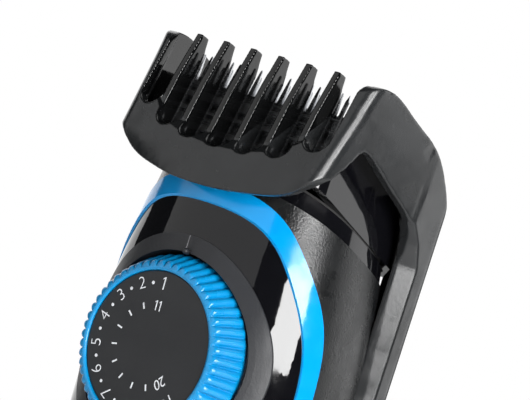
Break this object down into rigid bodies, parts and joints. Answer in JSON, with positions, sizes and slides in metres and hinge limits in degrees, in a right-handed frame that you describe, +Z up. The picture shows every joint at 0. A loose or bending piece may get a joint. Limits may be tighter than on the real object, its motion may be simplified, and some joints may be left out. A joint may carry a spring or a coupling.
{
  "type": "beard trimmer",
  "caption": "Cordless beard trimmer with a knurled setting dial on the front, a sliding ribbed comb over a toothed cutting head, and a tapered handle.",
  "frame": {"origin": "centre of the flat base the trimmer stands on", "axes": "+Z up the handle towards the blades, -Y the side with the dial, +X to the right seen from the dial"},
  "size_m": [0.0452, 0.0397, 0.1654],
  "materials": {
    "shell": "fine-grained black, slightly sparkling",
    "blue_trim": "bright blue, glossy",
    "blue_dial": "bright blue, satin",
    "gloss_black": "piano black",
    "bezel": "fine matt charcoal",
    "dial_face": "satin charcoal with pale printed numbers",
    "comb_black": "satin black outside, glossy inside",
    "button": "satin black",
    "seal": "matt rubber",
    "socket": "matt black",
    "plated_brass": "plated",
    "cell_wrap": "shrink wrap",
    "board": "solder mask",
    "chips": "moulded",
    "light_guide": "frosted",
    "screw_steel": "zinc plated",
    "spring_steel": "bright",
    "motor_steel": "plated",
    "blade_steel": "ground steel",
    "frame_plastic": "moulded nylon",
    "white_plastic": "acetal"
  },
  "bodies": {
    "housing": {"front_shell": "shell", "rear_shell": "shell", "accent_trim": "blue_trim", "front_panel": "gloss_black", "dial_bezel": "bezel", "neck_collar": "gloss_black", "neck_seal": "seal", "base_cap": "shell", "charging_socket": "socket", "socket_pins": "plated_brass", "battery_cell": "cell_wrap", "battery_tabs": "plated_brass", "circuit_board": "board", "board_parts": "chips", "tact_switch": "chips", "status_light": "light_guide", "housing_screws": "screw_steel", "chassis": "frame_plastic", "dial_axle": "screw_steel", "dial_retainer": "spring_steel", "detent_spring": "spring_steel", "motor_can": "motor_steel", "motor_bracket": "frame_plastic", "head_housing": "gloss_black", "fixed_blade": "blade_steel", "blade_screws": "screw_steel", "blade_spring": "spring_steel"},
    "dial": {"dial_knob": "blue_dial", "dial_disc": "dial_face", "cam_plate": "frame_plastic"},
    "slider": {"comb_slider": "frame_plastic"},
    "comb": {"comb_frame": "comb_black", "comb_ribs": "comb_black"},
    "button": {"power_button": "button"},
    "rotor": {"motor_shaft": "screw_steel", "drive_eccentric": "white_plastic"},
    "cutter": {"moving_blade": "blade_steel", "blade_carrier": "white_plastic"}
  },
  "joints": [
    {"name": "dial_turn", "type": "hinge", "parent": "housing", "child": "dial", "pos_m": [0, -0.016, 0.116], "axis": [0, 1, 0], "range_deg": [0, 222.7]},
    {"name": "comb_lift", "type": "slide", "parent": "housing", "child": "slider", "axis": [0, 0, 1], "range_m": [0, 0.009]},
    {"name": "comb_pull_off", "type": "slide", "parent": "slider", "child": "comb", "axis": [0, 0, 1], "range_m": [0, 0.05]},
    {"name": "power_press", "type": "slide", "parent": "housing", "child": "button", "axis": [0, 1, 0], "range_m": [0, 0.0008], "stiffness_N_per_m": 800, "springref_m": -0.0005},
    {"name": "motor_spin", "type": "hinge", "parent": "housing", "child": "rotor", "pos_m": [0, 0.0035, 0.128], "axis": [0, 0, 1], "continuous": true},
    {"name": "blade_stroke", "type": "slide", "parent": "housing", "child": "cutter", "axis": [1, 0, 0], "range_m": [-0.0012, 0.0012]}
  ],
  "couplings": [
    {"joint": "comb_lift", "follows": "dial_turn", "m_per_rad": 0.002315}
  ]
}
